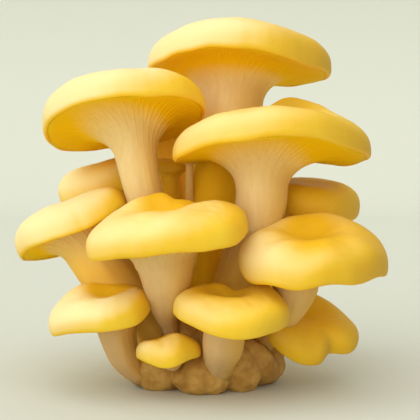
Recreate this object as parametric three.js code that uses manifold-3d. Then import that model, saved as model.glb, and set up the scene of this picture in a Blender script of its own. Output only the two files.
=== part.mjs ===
// A cluster of golden oyster mushrooms grown together from one lobed clump, in millimetres, with +Z up.
// The origin is the middle of the flat spot that the clump rests on, and -Y is the front.
// Each mushroom is a yellow cap over a pale stem, whose gills hang under the cap and run down the stem.
import * as THREE from 'three';
import { mergeVertices } from 'three/addons/utils/BufferGeometryUtils.js';
import Module from 'manifold-3d';

const wasm = await Module();
wasm.setup();

// Clearance between solids that grow out of each other, and the longest edge of a sliver that a cut leaves.
const GAP = 0.3;
const SLIVER = 0.05;

// Shares of the rim's reach: where the gills end, where the turned-in margin ends, and its lowest line.
const GILL_REACH = 0.9;
const CEILING_REACH = 0.93;
const LIP_REACH = 0.97;
// How full the cap's dome is outwards and upwards: 1 is a plain half ellipse, and less is fuller.
const FULL_OUTWARDS = 0.85;
const FULL_UPWARDS = 0.75;
// Thickness of the gills' outer edge.
const GILL_EDGE = 0.8;

// The clump: a rounded heart, ringed by the swollen ends of old stems.
const CLUMP_RADIUS = 23;
const CLUMP_HEIGHT = 31;
const CLUMP_MIDDLE = 10;
// Columns and rows of facets on the heart and on each lobe.
const HEART_FACETS = [16, 9];
const LOBE_FACETS = [10, 7];
// What lies under the floor is cut off with a block this wide and deep.
const CUT_WIDTH = 120;
const CUT_DEPTH = 60;
// Each lobe: where round the clump in degrees, distance out, height of its middle, half-sizes outwards,
// sideways and upwards, and its slant to the side in degrees.
const LOBES = [
  [-142, 22, 7.5, [9.5, 8.5, 11], -8],
  [-95, 19, 7, [10.5, 11.5, 10], 0],
  [-57, 20, 8, [9, 7, 12], 30],
  [-33, 21, 9, [9, 6.5, 12], 42],
  [-8, 21.5, 8, [9, 9, 10], 10],
  [34, 20, 8, [9, 10, 12], 0],
  [76, 19, 7, [9.5, 9, 10], -14],
  [112, 20, 9, [9, 8, 12], 12],
  [150, 20, 7, [9, 9.5, 11], 0],
  [188, 20, 9, [8.5, 8, 12], 10],
];
// Depth under the floor of the point that all the stems fan out from.
const FAN_DEPTH = 18;
// How stiffly a stem holds its direction at each end before it bends, as a share of its length.
const STIFFNESS = 0.36;
// How much further each stem runs into the clump from its foot, straight towards the fan's point.
const ROOT_DEPTH = 4;

// Where the rings lie: in degrees over the cap, in degrees down the gills, and along the stem from the neck.
const SKIN_SWINGS = [22, 40, 57, 74, 90];
const GILL_TURNS = [0, 14, 36, 62];
const STEM_STATIONS = [1, 0.78, 0.55, 0.3, 0];
// How far the gills stand out at each of their rings, as a share of their full depth.
const GILL_RELIEF = [0, 0.8, 1, 0.5];
// Depth of the gills as a share of the neck's radius, and at most.
const GILL_DEPTH_SHARE = 0.22;
const MOST_GILL_DEPTH = 1.6;
// The ring halfway in on the cap's flat underside, hidden over the gills.
const HALFWAY = 0.5;

const COLOURS = { stem: '#e8c98f', cap: '#f6cf3f', clump: '#b48a45' };

// at: middle of the rim plane. lean: degrees that it tips to the front and to the right.
// lobes swell the outline and waves lift the rim: [how many round the cap, size, where in degrees].
// notches bite into the outline: [where in degrees, share of the reach, width in degrees].
// dents sink the skin, or raise it when the depth is below zero: [x, y, size, depth].
// foot: where the stem leaves the clump. neck: where it meets the cap, off the cap's middle.
const MUSHROOMS = [
  {
    name: 'top', gills: 28,
    cap: {
      at: [12.6, 27, 122.4], lean: [-8.5, 3], width: 74, depth: 63, crown: 15.5, tuck: 2.4, ceiling: 8,
      lobes: [[3, 0.02, 20]], notches: [],
      dents: [[0, 8, 16, 2]],
      waves: [[2, -1.3, 0], [3, 0.8, 10]],
    },
    stem: { foot: [-1, 5, 30], footRadius: 6.5, neckRadius: 13, flare: 14.5, neck: [-2.5, 2] },
  },
  {
    name: 'upper_left', gills: 26,
    cap: {
      at: [-32, 0, 99.9], lean: [-19, -9], width: 62, depth: 58, crown: 15, tuck: 2.4, ceiling: 8,
      lobes: [[3, 0.02, 0]], notches: [],
      dents: [[6, 6, 13, 2]],
      waves: [[2, -0.6, 0], [3, 0.8, 100]],
    },
    stem: { foot: [-11, 4, 29], footRadius: 4.8, neckRadius: 8, flare: 14, neck: [3, 2] },
  },
  {
    name: 'upper_right', gills: 28,
    cap: {
      at: [24.2, -14, 88.6], lean: [-9, 0], width: 72.5, depth: 60, crown: 14, tuck: 2.2, ceiling: 6,
      lobes: [[3, 0.02, 50]], notches: [],
      dents: [[6, -9, 9, 6], [4, 14, 10, -6.5], [18, 11, 12, -6.5]],
      waves: [[2, -2, 0], [5, 0.6, 0]],
    },
    stem: { foot: [8, -3, 29], footRadius: 7, neckRadius: 9.6, flare: 13, neck: [-4, 5] },
  },
  {
    name: 'front', gills: 24,
    cap: {
      at: [-13.2, -31, 57.7], lean: [5, -8], width: 58, depth: 48, crown: 12, tuck: 2.2, ceiling: 5,
      lobes: [[3, 0.03, 180]], notches: [[76, 0.24, 11]],
      dents: [[0, 4, 9, 5], [-10, 14, 9, -3.5], [1, 17, 8, -5.5], [14, 14, 9, 2]],
      waves: [[3, 0.8, 20], [5, 0.5, 0]],
    },
    stem: { foot: [-14, -16, 24], footRadius: 3.2, neckRadius: 11, flare: 8.5, neck: [-2.8, 2] },
  },
  {
    name: 'left', gills: 20,
    cap: {
      at: [-50.6, -2, 56.8], lean: [-15, -25], width: 46, depth: 38, crown: 12.5, tuck: 2.2, ceiling: 6,
      lobes: [[3, 0.03, 0]], notches: [],
      dents: [[3, 3, 9, 2]],
      waves: [[2, 2, 0], [3, 0.8, 0]],
    },
    stem: { foot: [-18, -2, 17], footRadius: 8, neckRadius: 11, flare: 8.5, neck: [4, 2] },
  },
  {
    name: 'shoulder_left', gills: 18,
    cap: {
      at: [-41, 27, 73.5], lean: [3, -18], width: 38, depth: 34, crown: 11.5, tuck: 2, ceiling: 5,
      lobes: [[3, 0.03, 60]], notches: [],
      dents: [[2, 2, 8, 2]],
      waves: [[2, 0.8, 30]],
    },
    stem: { foot: [-13, 12, 24], footRadius: 4, neckRadius: 5.5, flare: 8, neck: [4, 3] },
  },
  {
    name: 'lower_left', gills: 20,
    cap: {
      at: [-38.2, -24, 29.6], lean: [9, -11], width: 37.5, depth: 36, crown: 9.5, tuck: 2, ceiling: 4.5,
      lobes: [[3, 0.03, 180]], notches: [],
      dents: [[4, 2, 8, 4.5], [-9, 11, 8, -1.5]],
      waves: [[2, -0.8, 0], [3, 0.8, 0]],
    },
    stem: { foot: [-26, -13.5, 6.5], footRadius: 4.4, neckRadius: 7.4, flare: 6, neck: [4, 3] },
  },
  {
    name: 'lower_front', gills: 20,
    cap: {
      at: [8.6, -38, 31.8], lean: [9, 5], width: 41, depth: 38, crown: 8.8, tuck: 2, ceiling: 4,
      lobes: [[3, 0.03, 30]], notches: [[82, 0.32, 14]],
      dents: [[-2, 3, 8, 4.5], [-6, 14, 8, -1], [11, 7, 7, -2.5]],
      waves: [[3, 0.8, 90]],
    },
    stem: { foot: [4, -23, 11], footRadius: 6, neckRadius: 7.4, flare: 4.5, neck: [-2, 0] },
  },
  {
    name: 'right', gills: 24,
    cap: {
      at: [37.6, -29, 48.6], lean: [13, 0], width: 53, depth: 46, crown: 13.5, tuck: 2.2, ceiling: 5,
      lobes: [[3, 0.03, 30]], notches: [],
      dents: [[-2, 3, 11, 5.5], [-1, 17, 9, -2.5], [13, 14, 12, -3.5]],
      waves: [[2, -1.8, 20], [7, 0.7, 20]],
    },
    stem: { foot: [22, -9, 17], footRadius: 4, neckRadius: 8.8, flare: 7, neck: [-6, 4] },
  },
  {
    name: 'shoulder_right', gills: 18,
    cap: {
      at: [40, 9, 67], lean: [10, 6], width: 39, depth: 36, crown: 11, tuck: 2, ceiling: 5,
      lobes: [[3, 0.03, 30]], notches: [],
      dents: [[-2, 2, 9, 3]],
      waves: [[2, 0.8, 60]],
    },
    stem: { foot: [15, 5, 24], footRadius: 4, neckRadius: 6, flare: 8, neck: [-4, 1] },
  },
  {
    name: 'lower_right', gills: 24,
    cap: {
      at: [36.7, -8, 21.2], lean: [30, 11], width: 39, depth: 36.5, crown: 9, tuck: 1.8, ceiling: 3,
      lobes: [[2, 0.04, -20]], notches: [[-54, 0.25, 11], [170, 0.3, 25]],
      dents: [[-3, 3, 10, 5]],
      waves: [[3, 1.4, -30]],
    },
    stem: { foot: [22, -4, 10], footRadius: 4, neckRadius: 5, flare: 4, neck: [-4.2, 3] },
  },
  {
    name: 'bud_front', gills: 12,
    cap: {
      at: [-14, -31.5, 16.6], lean: [8, -3], width: 23, depth: 19, crown: 6.5, tuck: 1.4, ceiling: 2,
      lobes: [[3, 0.05, 30], [5, 0.03, 0]], notches: [],
      dents: [[-4, 3.5, 4, 2.8], [4, -1, 4, -1]],
      waves: [[3, 0.8, 90]],
    },
    stem: { foot: [-10, -19, 12], footRadius: 3, neckRadius: 3.4, flare: 2, neck: [1, 3] },
  },
  {
    name: 'inner', gills: 12,
    cap: {
      at: [-14.8, 24, 81], lean: [0, 0], width: 15.5, depth: 16, crown: 4.5, tuck: 1.2, ceiling: 2,
      lobes: [[3, 0.03, 0]], notches: [],
      dents: [[0, 0, 4, 1]],
      waves: [[2, 0.4, 0]],
    },
    stem: { foot: [-7, 13, 29], footRadius: 3, neckRadius: 3.6, flare: 4, neck: [0, 0] },
  },
  {
    name: 'slender', gills: 12,
    cap: {
      at: [-7, 12, 85], lean: [0, 0], width: 12, depth: 12, crown: 5, tuck: 1, ceiling: 1.5,
      lobes: [[3, 0.02, 0]], notches: [],
      dents: [[0, 0, 3, 0.4]],
      waves: [[2, 0.3, 0]],
    },
    stem: { foot: [-5, 5, 31], footRadius: 2, neckRadius: 1.5, flare: 2, neck: [0, 0] },
  },
  {
    name: 'back_left', gills: 20,
    cap: {
      at: [-15, 53, 89], lean: [-20, -8], width: 44, depth: 42, crown: 12, tuck: 2.2, ceiling: 5,
      lobes: [[3, 0.03, 80]], notches: [],
      dents: [[2, -4, 10, 3]],
      waves: [[3, 1, 30]],
    },
    stem: { foot: [-9, 18, 22], footRadius: 6.5, neckRadius: 8.5, flare: 8, neck: [0, -4] },
  },
  {
    name: 'back_right', gills: 20,
    cap: {
      at: [27, 49, 60], lean: [-20, 14], width: 52, depth: 46, crown: 13, tuck: 2.2, ceiling: 5,
      lobes: [[3, 0.03, 20]], notches: [],
      dents: [[-2, -4, 10, 4]],
      waves: [[3, 1, 70]],
    },
    stem: { foot: [11, 18, 22], footRadius: 5, neckRadius: 7, flare: 8, neck: [-2, -4] },
  },
  {
    name: 'back_low', gills: 18,
    cap: {
      at: [-2, 44, 29], lean: [-24, 0], width: 42, depth: 38, crown: 10, tuck: 2, ceiling: 4,
      lobes: [[3, 0.03, 20]], notches: [],
      dents: [[0, -5, 9, 4]],
      waves: [[3, 0.8, 70]],
    },
    stem: { foot: [-2, 25, 10], footRadius: 5, neckRadius: 6, flare: 5, neck: [0, -3] },
  },
];

const around = (count, make) =>
  Array.from({ length: count }, (_, i) => make((i / count) * 2 * Math.PI, i));
const mix = THREE.MathUtils.lerp;
const rad = THREE.MathUtils.degToRad;

// Sum of the cosine swells in a lobes or waves list at one angle round the cap.
const swell = (list, angle) =>
  list.reduce((sum, [count, size, where]) => sum + size * Math.cos(count * (angle - rad(where))), 0);

// Distance from the cap's middle to its widest edge.
function rimReach(cap, angle) {
  const across = Math.cos(angle) / (cap.width / 2);
  const along = Math.sin(angle) / (cap.depth / 2);
  const bite = cap.notches.reduce((sum, [where, share, width]) =>
    sum + share * Math.exp((Math.cos(angle - rad(where)) - 1) / rad(width) ** 2), 0);
  return (1 + swell(cap.lobes, angle) - bite) / Math.hypot(across, along);
}

// A point a given share of the way out to the rim, at a height that follows the rim's waves.
function fromMiddle(cap, share, height, angle) {
  const reach = share * rimReach(cap, angle);
  const lift = swell(cap.waves, angle) * share * share;
  return new THREE.Vector3(reach * Math.cos(angle), reach * Math.sin(angle), height + lift);
}

// The skin over the top, from the middle (swing 0) to the widest edge (swing of a quarter turn).
function skinPoint(cap, swing, angle) {
  const upright = Math.max(Math.cos(swing), 0);
  const rise = cap.crown * upright ** FULL_UPWARDS;
  const point = fromMiddle(cap, Math.sin(swing) ** FULL_OUTWARDS, rise, angle);
  const sink = cap.dents.reduce((sum, [x, y, size, depth]) =>
    sum + depth * Math.exp(-(((point.x - x) / size) ** 2) - ((point.y - y) / size) ** 2), 0);
  point.z -= sink * Math.sqrt(upright);
  return point;
}

// The surface where the cap's flesh ends and the gills begin.
const ceilingHeight = (cap, share) => cap.ceiling * (1 - (share / CEILING_REACH) ** 2);

function capRings({ cap, gills }) {
  const skin = SKIN_SWINGS.map((swing) =>
    around(gills, (angle) => skinPoint(cap, rad(swing), angle)));
  const ring = (share, height) => around(gills, (angle) => fromMiddle(cap, share, height, angle));
  return [
    [skinPoint(cap, 0, 0)],
    ...skin,
    ring(LIP_REACH, -cap.tuck),
    ring(CEILING_REACH, 0),
    ring(HALFWAY, ceilingHeight(cap, HALFWAY)),
    [fromMiddle(cap, 0, cap.ceiling, 0)],
  ];
}

// A solid's closed skin from a run of rings, from its top pole round the outside to its bottom pole.
function loft(rings) {
  const positions = [];
  const triangles = [];
  let above = null;
  for (const ring of rings) {
    const below = { start: positions.length / 3, count: ring.length };
    ring.forEach((p) => positions.push(p.x, p.y, p.z));
    if (above) stitch(above, below, triangles);
    above = below;
  }
  const geometry = new THREE.BufferGeometry();
  geometry.setAttribute('position', new THREE.Float32BufferAttribute(positions, 3));
  return geometry.setIndex(triangles);
}

// Joins two rings that may have different counts, by stepping round both together.
function stitch(above, below, triangles) {
  const steps = (ring) => (ring.count > 1 ? ring.count : 0);
  const corner = (ring, i) => ring.start + (i % ring.count);
  let i = 0;
  let j = 0;
  while (i < steps(above) || j < steps(below)) {
    const stepAbove = j >= steps(below)
      || (i < steps(above) && (i + 1) / above.count <= (j + 1) / below.count);
    if (stepAbove) {
      triangles.push(corner(above, i), corner(below, j), corner(above, i + 1));
      i += 1;
    } else {
      triangles.push(corner(above, i), corner(below, j), corner(below, j + 1));
      j += 1;
    }
  }
}

// The gills' underside as a trumpet, from the rim (turn 0) to the neck (turn of a quarter).
// Every second corner stands out as a gill's edge.
function gillRing({ cap, stem, gills }, turn, relief) {
  const out = 1 - Math.sin(turn);
  const drop = GAP + GILL_EDGE + stem.flare * (1 - Math.cos(turn));
  const start = ceilingHeight(cap, GILL_REACH);
  return around(2 * gills, (angle, i) => {
    const rim = fromMiddle(cap, GILL_REACH, 0, angle);
    const ridge = (i % 2) * relief;
    const sideways = mix(stem.neckRadius, Math.hypot(rim.x, rim.y), out) + ridge * Math.sin(turn);
    const lift = rim.z * out * out;
    return new THREE.Vector3(
      mix(stem.neck[0], 0, out) + sideways * Math.cos(angle),
      mix(stem.neck[1], 0, out) + sideways * Math.sin(angle),
      start + lift - drop - ridge * Math.cos(turn),
    );
  });
}

// Rings down the stem's bent length, carried along without twist so that their corners stay in line.
function stemRings({ cap, stem, gills }, frame, grow) {
  const axis = new THREE.Vector3().setFromMatrixColumn(frame, 2);
  const neckHeight = ceilingHeight(cap, GILL_REACH) - GAP - GILL_EDGE - stem.flare;
  const neck = new THREE.Vector3(...stem.neck, neckHeight).applyMatrix4(frame);
  const foot = new THREE.Vector3(...stem.foot);
  const outward = foot.clone().add(new THREE.Vector3(0, 0, FAN_DEPTH)).normalize();
  const pull = foot.distanceTo(neck) * STIFFNESS;
  const path = new THREE.CubicBezierCurve3(
    foot,
    foot.clone().addScaledVector(outward, pull),
    neck.clone().addScaledVector(axis, -pull),
    neck,
  );
  const side = new THREE.Vector3().setFromMatrixColumn(frame, 0);
  const rings = STEM_STATIONS.map((t) => {
    const centre = path.getPoint(t);
    const along = path.getTangent(t);
    side.addScaledVector(along, -side.dot(along)).normalize();
    const other = along.clone().cross(side);
    const radius = mix(stem.footRadius, stem.neckRadius, t) + grow;
    return around(gills / 2, (angle) => centre.clone()
      .addScaledVector(side, radius * Math.cos(angle))
      .addScaledVector(other, radius * Math.sin(angle)));
  });
  return [...rings, rings.at(-1).map((p) => p.clone().addScaledVector(outward, -ROOT_DEPTH))];
}

const middle = (ring) => ring.reduce(
  (sum, p) => sum.addScaledVector(p, 1 / ring.length),
  new THREE.Vector3(),
);

function stemAndGillRings(mushroom, frame) {
  const { cap, stem, gills } = mushroom;
  const ring = (share) => around(gills, (angle) =>
    fromMiddle(cap, share, ceilingHeight(cap, share) - GAP, angle));
  const gillDepth = Math.min(MOST_GILL_DEPTH, stem.neckRadius * GILL_DEPTH_SHARE);
  const inCap = [
    [fromMiddle(cap, 0, cap.ceiling - GAP, 0)],
    ring(HALFWAY),
    ring(GILL_REACH),
    ...GILL_TURNS.map((turn, i) => gillRing(mushroom, rad(turn), gillDepth * GILL_RELIEF[i])),
  ].map((points) => points.map((p) => p.applyMatrix4(frame)));
  const down = stemRings(mushroom, frame, 0);
  return [...inCap, ...down, [middle(down.at(-1))]];
}

// The bare stem, a little swollen, for keeping its neighbours clear.
function swollenStem(mushroom, frame) {
  const down = stemRings(mushroom, frame, GAP);
  return [[middle(down[0])], ...down, [middle(down.at(-1))]];
}

function solidOf(geometry) {
  return new wasm.Manifold(new wasm.Mesh({
    numProp: 3,
    vertProperties: new Float32Array(geometry.attributes.position.array),
    triVerts: new Uint32Array(geometry.index.array),
  }));
}

function geometryOf(solid) {
  const { vertProperties, triVerts } = solid.getMesh();
  const geometry = new THREE.BufferGeometry();
  geometry.setAttribute('position', new THREE.BufferAttribute(vertProperties, 3));
  geometry.setIndex(new THREE.BufferAttribute(triVerts, 1));
  return geometry;
}

// An egg-shaped bulge as a closed loft round the origin, wider or taller by its three half-sizes.
function bulge(halfSizes, columns, rows) {
  const level = (row) => {
    const swing = (row / rows) * Math.PI;
    const point = (angle) => new THREE.Vector3(
      halfSizes[0] * Math.sin(swing) * Math.cos(angle),
      halfSizes[1] * Math.sin(swing) * Math.sin(angle),
      halfSizes[2] * Math.cos(swing),
    );
    return row === 0 || row === rows ? [point(0)] : around(columns, point);
  };
  return loft(Array.from({ length: rows + 1 }, (_, row) => level(row)));
}

// The clump, swollen by a clearance where it is used to cut stems back from it.
function clumpSolid(grow) {
  const heart = [CLUMP_RADIUS, CLUMP_RADIUS, CLUMP_HEIGHT - CLUMP_MIDDLE].map((size) => size + grow);
  const whole = LOBES.reduce(
    (solid, [where, distance, middle, halfSizes, slant]) =>
      solid.add(solidOf(bulge(halfSizes.map((size) => size + grow), ...LOBE_FACETS)
        .rotateX(rad(slant))
        .translate(distance, 0, middle)
        .rotateZ(rad(where)))),
    solidOf(bulge(heart, ...HEART_FACETS).translate(0, 0, CLUMP_MIDDLE)),
  );
  const underfloor = new THREE.BoxGeometry(CUT_WIDTH, CUT_WIDTH, CUT_DEPTH)
    .translate(0, 0, -CUT_DEPTH / 2 - grow);
  underfloor.deleteAttribute('normal');
  underfloor.deleteAttribute('uv');
  return whole.subtract(solidOf(mergeVertices(underfloor)));
}

const flesh = (name, roughness) =>
  new THREE.MeshStandardMaterial({ name, color: COLOURS[name], roughness, metalness: 0 });

const cluster = new THREE.Group();
cluster.name = 'oyster_mushroom_cluster';

const clump = new THREE.Mesh(geometryOf(clumpSolid(0)), flesh('clump', 0.8));
clump.name = 'clump';
cluster.add(clump);

// Each mushroom stands in its own frame, whose Z is the cap's axis and whose origin is the rim's middle.
const stands = MUSHROOMS.map(({ cap, name }) => {
  const group = new THREE.Group();
  group.name = name;
  group.position.set(...cap.at);
  group.rotation.set(rad(cap.lean[0]), rad(cap.lean[1]), 0);
  group.updateMatrix();
  cluster.add(group);
  return group;
});

// What has grown so far, swollen by the gap: later stems are cut back from it, and then the caps are.
let grown = clumpSolid(GAP);

// What is left of a solid when it is cut back: its biggest body, with the cut's slivers drawn together.
function cutBack(whole) {
  const bodies = whole.subtract(grown).decompose();
  return bodies.sort((a, b) => b.volume() - a.volume())[0].simplify(SLIVER);
}

function place(solid, name, material, group) {
  const mesh = new THREE.Mesh(geometryOf(solid), material);
  mesh.geometry.applyMatrix4(group.matrix.clone().invert());
  mesh.name = name;
  group.add(mesh);
}

MUSHROOMS.forEach((mushroom, i) => {
  const frame = stands[i].matrix;
  const whole = solidOf(loft(stemAndGillRings(mushroom, frame)));
  place(cutBack(whole), `stem_${mushroom.name}`, flesh('stem', 0.7), stands[i]);
  grown = grown.add(solidOf(loft(swollenStem(mushroom, frame))));
});

MUSHROOMS.forEach((mushroom, i) => {
  const whole = solidOf(loft(capRings(mushroom)).applyMatrix4(stands[i].matrix));
  place(cutBack(whole), `cap_${mushroom.name}`, flesh('cap', 0.5), stands[i]);
});

export default cluster;
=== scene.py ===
# A cluster of golden oyster mushrooms, as picked, standing on the clump that its stems grow out of.
# Sizes are in millimetres, +Z is up and -Y is the front, as in the part's own source.
import math

import bpy
import numpy as np
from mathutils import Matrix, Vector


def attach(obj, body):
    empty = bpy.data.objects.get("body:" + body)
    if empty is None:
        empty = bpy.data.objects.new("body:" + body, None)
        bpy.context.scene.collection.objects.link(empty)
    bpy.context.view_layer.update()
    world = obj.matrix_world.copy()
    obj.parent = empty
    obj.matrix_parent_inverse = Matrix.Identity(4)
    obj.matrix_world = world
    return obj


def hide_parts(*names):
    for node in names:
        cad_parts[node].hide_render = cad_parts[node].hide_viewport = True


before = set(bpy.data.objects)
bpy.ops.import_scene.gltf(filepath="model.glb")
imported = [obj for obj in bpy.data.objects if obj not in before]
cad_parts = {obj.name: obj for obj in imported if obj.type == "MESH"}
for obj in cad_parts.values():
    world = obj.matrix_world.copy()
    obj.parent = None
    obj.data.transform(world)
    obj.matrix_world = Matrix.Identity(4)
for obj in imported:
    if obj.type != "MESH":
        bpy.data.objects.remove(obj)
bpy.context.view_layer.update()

MM = 0.001

# Clearance between a cap's flesh and the gills, and the thickness of the gills' outer edge.
GAP = 0.3
GILL_EDGE = 0.8
# Shares of the rim's reach where the gills end and where the cap's turned-in margin ends.
GILL_REACH = 0.9
CEILING_REACH = 0.93
# How full the cap's dome is outwards and upwards: 1 is a plain half ellipse, and less is fuller.
FULL_OUTWARDS = 0.85
FULL_UPWARDS = 0.75
# Depth under the floor of the point that the stems fan out from, and how stiffly each holds its direction.
FAN_DEPTH = 18
STIFFNESS = 0.36
# How much further each stem runs into the clump from its foot.
ROOT_DEPTH = 4

# How finely each surface is divided: rings from the middle outwards or downwards, and columns round it.
CAP_COLUMNS = 144
CAP_RINGS = 34
# The first ring's share of the way over the cap, and how the rings crowd together towards the rim.
FIRST_RING = 0.03
RING_CROWDING = 0.9
LIP_RINGS = 10
CEILING_RINGS = 4
GILL_RINGS = 26
STEM_RINGS = 44
STEM_COLUMNS_EACH = 5
# The last ring of a cap's hidden underside, and the ring halfway in over the gills, as shares of the reach.
LAST_CEILING = 0.1
HALFWAY = 0.5

# For each gill of the plain solid, a long gill to the neck, and a middling one between two short ones.
GILL_LENGTHS = (1.0, 0.38, 0.72, 0.38)
LONG_GILL = 0.9
# Height of each column of one gill, from its root to its crest and back.
GILL_CREST = (0, 0.6, 1, 0.6)
# How much gills differ in length and in height, and over how much of the bend a short one runs out.
LENGTH_DIFFERS = 0.08
LOWEST_GILL, HIGHEST_GILL = 0.8, 1.1
SHORT_RUN_OUT = 0.12
# How far the gills wander from their straight course, together and apart, in radians round the cap.
WANDER_TOGETHER = 0.02
WANDER_APART = 0.008

# Where the gills stand out, in degrees of the bend from rim to neck, and by what share of their full depth.
GILL_TURNS = (0, 14, 36, 62, 90)
GILL_RELIEF = (0, 0.8, 1, 0.55, 0.3)
# Depth of the gills as a share of the neck's radius, and at most.
GILL_DEPTH_SHARE = 0.22
MOST_GILL_DEPTH = 1.6
# Share of that depth for gills that stand this close together.
FINE_GILLS = 0.3
# The gills run out under the turned-in margin, at this share of the rim's reach, over this bend in degrees.
GILL_END_REACH = 0.955
RUN_OUT = 26
# How far down the tucked margin they come, and how gently they start to (1 is a straight slope).
TUCK_SHARE = 0.94
RUN_OUT_EASE = 1.5
# The lit side of each stem, where the pale flesh climbs up between the gills' painted golden shade, and by
# how much.
LIT_SIDE = math.radians(-112)
LIT_SIDE_PALE = 0.65
LESS_LIT_SIDE_PALE = {"top": 0.1}
# Painted shade: the side away from the light is golden on the gills and a deeper ochre on the stems, by
# these shares at most. It is painted ochre on caps too where they stand out to the right, fully so this far
# out.
FAR_SIDE = np.array([0.95, -0.3, 0])
MOST_FAR_GOLD = 0.5
MOST_FAR_STEM = 0.65
MOST_FAR_CAP = 0.9
FAR_OUT = 35
# How softly that side begins: 1 is a plain fade, and more leaves its edge paler.
FAR_EDGE = 1.5
# Added to each ring's half-width in millimetres, so that the smallest rings have little of a far side.
RING_MARGIN = 1
# The painted ochre shade ends at this mark up the gills (1 is the neck, 2 the rim) after fading over this
# much.
OCHRE_END = 1.2
OCHRE_FADE = 0.2
# Height over which the stems' painted golden shade fades out.
STEM_SHADE_GOLD_FADE = 18

# Shallow flutes down each stem: how many round it, and their depth as a share of its radius. They twist
# this much and come in over this share of the length under the gills, and the girth swells by this share.
STEM_FLUTES = ((2, 0.03), (3, 0.035), (5, 0.02), (9, 0.012))
FLUTE_TWIST = 0.5
FLUTE_START = 0.12
STEM_SWELLING = 0.03
# Strands that run on from the gills, their height and the share of the length over which they fade, and
# fewer ones all the way down: for each gill, and their height.
GILL_STRAND = 0.05
GILL_STRAND_FADE = 0.3
STRANDS_EACH = 0.75
LOW_STRAND = 0.03

# Uneven growth as sums of bumps: their height, how far apart they are, and the number of the random draw.
RIM_FRILL = ((0.16, 7, 0), (0.06, 2.5, 50))
RIM_DROOP = ((0.25, 9, 100),)
SKIN_LUMPS = ((0.28, 7, 150), (0.07, 2.2, 200))
CLUMP_SWELLINGS = ((0.5, 5, 900), (0.2, 2, 901))
STEM_DRAWS = 400
# Each is made of this many waves, which differ in length by these factors.
BUMP_WAVES = 14
LENGTH_FACTORS = (0.6, 1.4)
# How close to the rim the frill and droop stay, and the lumps end.
RIM_NEARNESS = 6

# The clump: a rounded heart, ringed by the swollen ends of old stems.
CLUMP_RADIUS = 23
CLUMP_HEIGHT = 31
CLUMP_MIDDLE = 10
# Each lobe: where round the clump in degrees, distance out, height of its middle, half-sizes outwards,
# sideways and upwards, and its slant to the side in degrees.
LOBES = [
    (-142, 22, 7.5, (9.5, 8.5, 11), -8),
    (-95, 19, 7, (10.5, 11.5, 10), 0),
    (-57, 20, 8, (9, 7, 12), 30),
    (-33, 21, 9, (9, 6.5, 12), 42),
    (-8, 21.5, 8, (9, 9, 10), 10),
    (34, 20, 8, (9, 10, 12), 0),
    (76, 19, 7, (9.5, 9, 10), -14),
    (112, 20, 9, (9, 8, 12), 12),
    (150, 20, 7, (9, 9.5, 11), 0),
    (188, 20, 9, (8.5, 8, 12), 10),
]
CLUMP_COLUMNS = 320
CLUMP_RINGS = 150
# The angle left open at each end of the clump's rings, which a single point closes.
END_ANGLE = 0.02
# How sharply the lobes meet, how wide their creases are, and how far the swollen skin is set in.
LOBE_SHARPNESS = 24
CREASE_WIDTH = 1.6
CLUMP_INSET = 0.6

# Painted shade and bounced light: stems in the heart of the cluster are painted golden up to a height:
# share of the gold, height.
STEM_SHADE_GOLD_BY_CAP = {
    "top": (0.95, 106), "upper_right": (0.6, 60), "right": (0.3, 45), "inner": (0.9, 200),
    "slender": (0.3, 200), "left": (0.6, 62), "shoulder_left": (0.5, 80), "shoulder_right": (0.7, 80),
    "back_left": (0.8, 120), "back_right": (0.6, 70), "back_low": (0.4, 40),
}

# Painted light: the side facing the key light, where the caps' skin is painted pale, less so on these caps.
PAINTED_LIGHT_SIDE = (-0.6, -0.47, 0.65)
LESS_PAINTED_LIGHT = {
    "upper_right": 0.65, "front": 0.7, "lower_front": 0.6, "bud_front": 0.65, "right": 0.75,
    "lower_right": 0.6, "shoulder_right": 0.1, "inner": 0.1,
}
# Painted shade: hollows this deep are painted fully deeper gold, and this gold lies this much further back
# than their middle.
FULL_GOLD_DEPTH = 5
GOLD_BEHIND = 5
# Where else a cap's skin is painted deeper gold as shade, in its own frame: x, y, size, share.
CAP_GOLD_SHADE_SPOTS = {
    "top": [(30, -4, 14, 0.4)],
    "upper_left": [(27, 2, 12, 0.9)],
    "upper_right": [(4, 4, 12, 1.0), (11, -17, 7, 0.9), (33, 0, 11, 0.3)],
    "front": [(7, 14, 9, 0.5), (-4, 19, 9, 0.4)],
    "left": [(17, 4, 12, 0.9)],
    "shoulder_left": [(3, -5, 12, 1.0)],
    "shoulder_right": [(0, 0, 30, 0.9)],
    "lower_left": [(4, 9, 9, 1.0)],
    "lower_front": [(-7, 0, 10, 1.0), (10, 0, 10, 0.4)],
    "right": [(0, -12, 12, 1.0), (24, 0, 15, 0.8)],
    "lower_right": [(0, 0, 30, 0.85)],
    "bud_front": [(-5, 5, 5, 0.8), (3, 0, 8, 0.4)],
    "inner": [(0, 0, 20, 0.8)],
}
# Painted shade: where the skin is painted as ochre as on the side away from the light: x, y, size, share.
OCHRE_SHADE_SPOTS = {
    "upper_right": [(5, 4, 11, 1.0), (4, -17, 8, 0.9)],
    "lower_front": [(-3, 2, 8, 0.6), (6, 2, 7, 0.6)],
    "right": [(0, -2, 8, 0.25)],
    "shoulder_right": [(0, 0, 30, 0.6)],
}

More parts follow.
